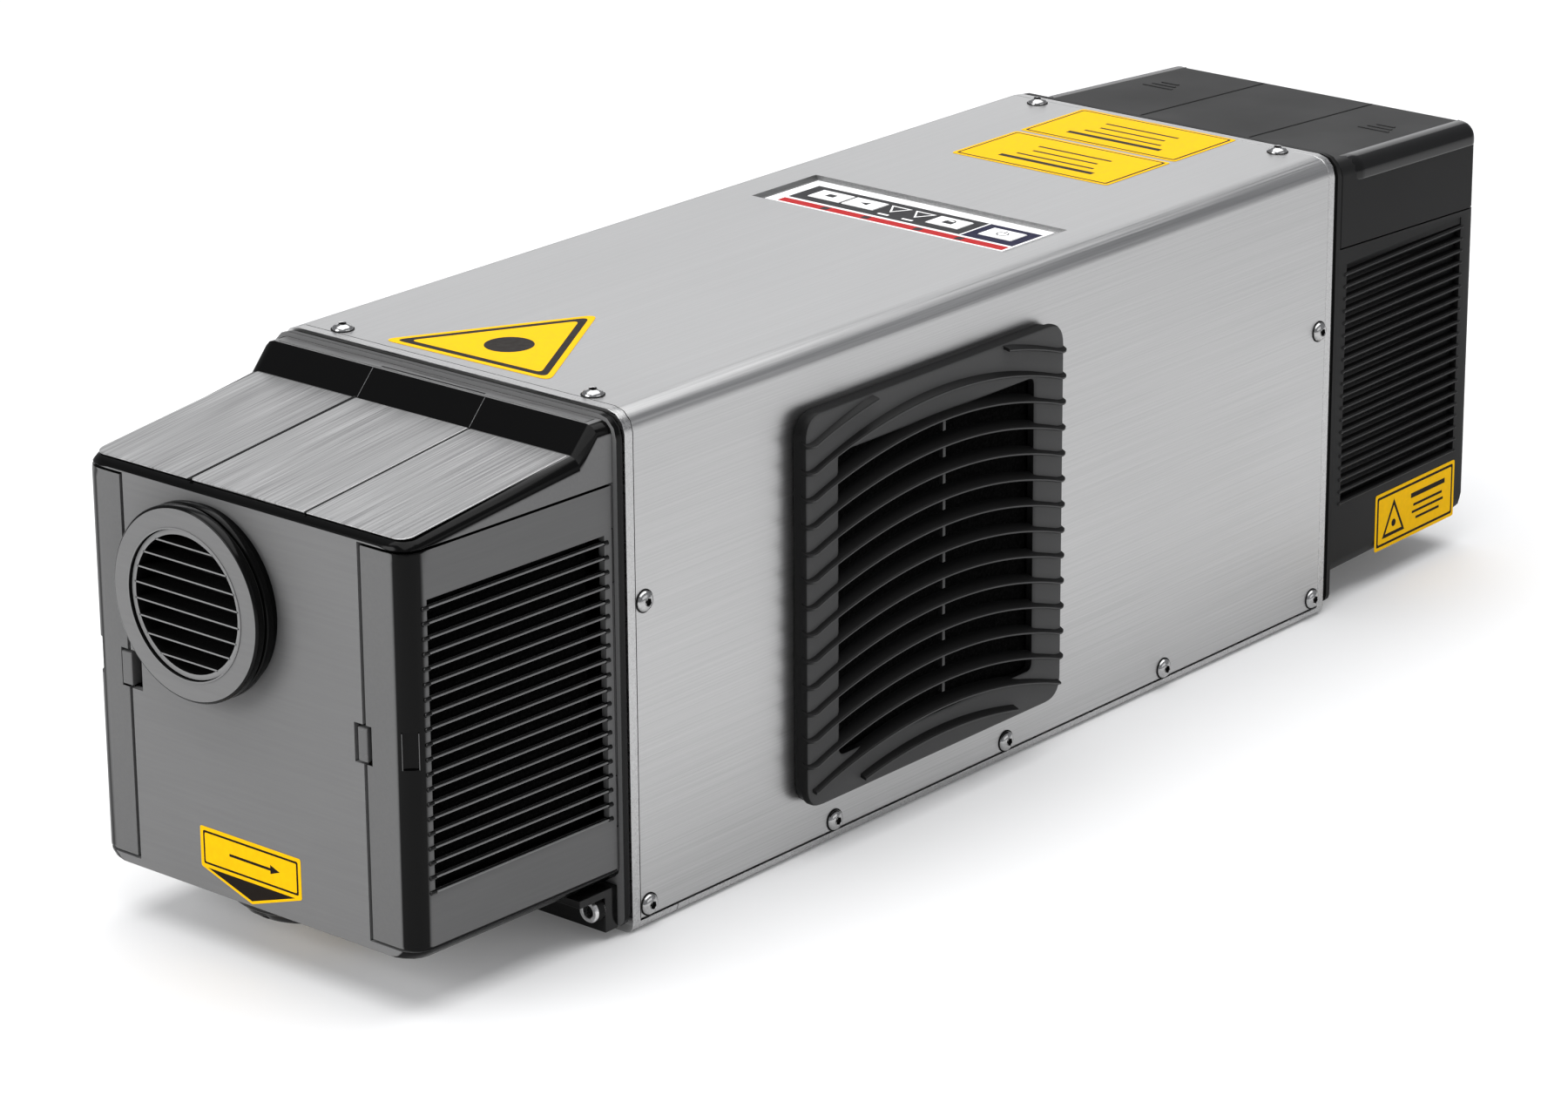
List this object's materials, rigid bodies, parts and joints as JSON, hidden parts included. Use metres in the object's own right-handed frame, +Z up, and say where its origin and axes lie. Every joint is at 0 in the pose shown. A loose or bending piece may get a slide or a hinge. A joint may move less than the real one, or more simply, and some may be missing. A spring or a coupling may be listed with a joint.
{
  "type": "laser date coder",
  "caption": "Compact air-cooled laser date coder: steel-covered body with side fan grille and top keypad, plastic head with collar and downward beam exit.",
  "frame": {"origin": "centre of the base plate's underside", "axes": "+X along the body to the connection end, -X to the marking head, -Y the side with the filter grille, +Z up"},
  "size_m": [0.644, 0.1745, 0.1943],
  "materials": {
    "brushed_steel": "brushed along the length",
    "frame_aluminium": "satin, bead blasted",
    "black_plastic": "glossy moulded black",
    "rear_plastic": "satin moulded black",
    "grille_plastic": "fine-textured dark grey",
    "rubber": "matt seal",
    "filter_foam": "open-cell foam",
    "keypad_print": "printed membrane",
    "key_white": "printed membrane key",
    "screw_steel": "polished stainless",
    "lens": "coated lens",
    "circuit_board": "solder mask",
    "gold": "gold coated"
  },
  "bodies": {
    "main_unit": {"base_plate": "frame_aluminium", "front_end_frame": "frame_aluminium", "rear_end_frame": "frame_aluminium", "steel_cover": "brushed_steel", "front_gasket": "rubber", "rear_gasket": "rubber", "keypad_panel": "keypad_print", "front_housing": "black_plastic", "exhaust_collar": "black_plastic", "collar_louvre": "black_plastic", "beam_exit_ring": "black_plastic", "focus_lens": "lens", "clamp_bracket": "black_plastic", "clamp_screw": "screw_steel", "rear_housing": "rear_plastic", "connector_plate": "frame_aluminium", "mains_inlet": "rear_plastic", "filter_frame": "grille_plastic", "filter_mat": "filter_foam", "fan_frame": "rear_plastic", "laser_tube": "frame_aluminium", "tube_cradle": "frame_aluminium", "rf_driver": "frame_aluminium", "power_supply": "brushed_steel", "control_board": "circuit_board", "optics_plate": "frame_aluminium", "beam_expander": "gold", "galvo_block": "frame_aluminium", "x_galvo_motor": "screw_steel", "y_galvo_motor": "screw_steel", "shutter_solenoid": "screw_steel", "side_screw_1": "screw_steel", "side_screw_2": "screw_steel", "side_screw_3": "screw_steel", "side_screw_4": "screw_steel", "side_screw_5": "screw_steel", "side_screw_6": "screw_steel", "side_screw_7": "screw_steel", "top_screw_1": "screw_steel", "top_screw_2": "screw_steel", "top_screw_3": "screw_steel", "top_screw_4": "screw_steel"},
    "near_side_cover": {"near_side_cover": "black_plastic", "near_side_filter": "filter_foam"},
    "far_side_cover": {"far_side_cover": "black_plastic", "far_side_filter": "filter_foam"},
    "near_cover_latch": {"near_cover_latch": "black_plastic"},
    "far_cover_latch": {"far_cover_latch": "black_plastic"},
    "rear_top_cover": {"rear_top_cover": "rear_plastic"},
    "filter_grille": {"filter_grille": "grille_plastic"},
    "fan_rotor": {"fan_rotor": "rear_plastic"},
    "stop_key": {"stop_key": "key_white"},
    "start_key": {"start_key": "key_white"},
    "shutter_key": {"shutter_key": "key_white"},
    "power_key": {"power_key": "key_white"},
    "x_mirror": {"x_mirror": "gold"},
    "y_mirror": {"y_mirror": "gold"},
    "shutter_flag": {"shutter_flag": "frame_aluminium"},
    "main_switch": {"main_switch": "rear_plastic"},
    "key_switch": {"key_switch": "screw_steel"}
  },
  "joints": [
    {"name": "near_cover_hinge", "type": "hinge", "parent": "main_unit", "child": "near_side_cover", "pos_m": [-0.215, -0.0797, 0.0965], "axis": [0, 0, 1], "range_deg": [0, 85]},
    {"name": "near_latch_press", "type": "slide", "parent": "near_side_cover", "child": "near_cover_latch", "axis": [1, 0, 0], "range_m": [0, 0.0015], "stiffness_N_per_m": 600, "springref_m": -0.0003},
    {"name": "far_cover_hinge", "type": "hinge", "parent": "main_unit", "child": "far_side_cover", "pos_m": [-0.215, 0.0797, 0.0965], "axis": [0, 0, -1], "range_deg": [0, 85]},
    {"name": "far_latch_press", "type": "slide", "parent": "far_side_cover", "child": "far_cover_latch", "axis": [1, 0, 0], "range_m": [0, 0.0015], "stiffness_N_per_m": 600, "springref_m": -0.0003},
    {"name": "hood_slide", "type": "slide", "parent": "main_unit", "child": "rear_top_cover", "axis": [1, 0, 0], "range_m": [0, 0.104]},
    {"name": "grille_hinge", "type": "hinge", "parent": "main_unit", "child": "filter_grille", "pos_m": [-0.0482, -0.0856, 0.02], "axis": [1, 0, 0], "range_deg": [0, 90]},
    {"name": "fan_spin", "type": "hinge", "parent": "main_unit", "child": "fan_rotor", "pos_m": [-0.0482, -0.059, 0.095], "axis": [0, 1, 0], "continuous": true},
    {"name": "stop_key_press", "type": "slide", "parent": "main_unit", "child": "stop_key", "axis": [0, 0, -1], "range_m": [0, 0.0005], "stiffness_N_per_m": 1500, "springref_m": -0.0001},
    {"name": "start_key_press", "type": "slide", "parent": "main_unit", "child": "start_key", "axis": [0, 0, -1], "range_m": [0, 0.0005], "stiffness_N_per_m": 1500, "springref_m": -0.0001},
    {"name": "shutter_key_press", "type": "slide", "parent": "main_unit", "child": "shutter_key", "axis": [0, 0, -1], "range_m": [0, 0.0005], "stiffness_N_per_m": 1500, "springref_m": -0.0001},
    {"name": "power_key_press", "type": "slide", "parent": "main_unit", "child": "power_key", "axis": [0, 0, -1], "range_m": [0, 0.0005], "stiffness_N_per_m": 1500, "springref_m": -0.0001},
    {"name": "x_mirror_turn", "type": "hinge", "parent": "main_unit", "child": "x_mirror", "pos_m": [-0.282, 0.024, 0.062], "axis": [0, 0, 1], "range_deg": [-12, 12]},
    {"name": "y_mirror_turn", "type": "hinge", "parent": "main_unit", "child": "y_mirror", "pos_m": [-0.282, 0.003, 0.062], "axis": [1, 0, 0], "range_deg": [-12, 12]},
    {"name": "shutter_turn", "type": "hinge", "parent": "main_unit", "child": "shutter_flag", "pos_m": [-0.1853, 0, 0.086], "axis": [1, 0, 0], "range_deg": [0, 40], "stiffness_Nm_per_rad": 0.01, "springref_deg": -17.19},
    {"name": "main_switch_rock", "type": "hinge", "parent": "main_unit", "child": "main_switch", "pos_m": [0.3132, -0.034, 0.108], "axis": [0, -1, 0], "range_deg": [0, 12]},
    {"name": "key_switch_turn", "type": "hinge", "parent": "main_unit", "child": "key_switch", "pos_m": [0.3172, 0.008, 0.108], "axis": [1, 0, 0], "range_deg": [0, 90]}
  ]
}
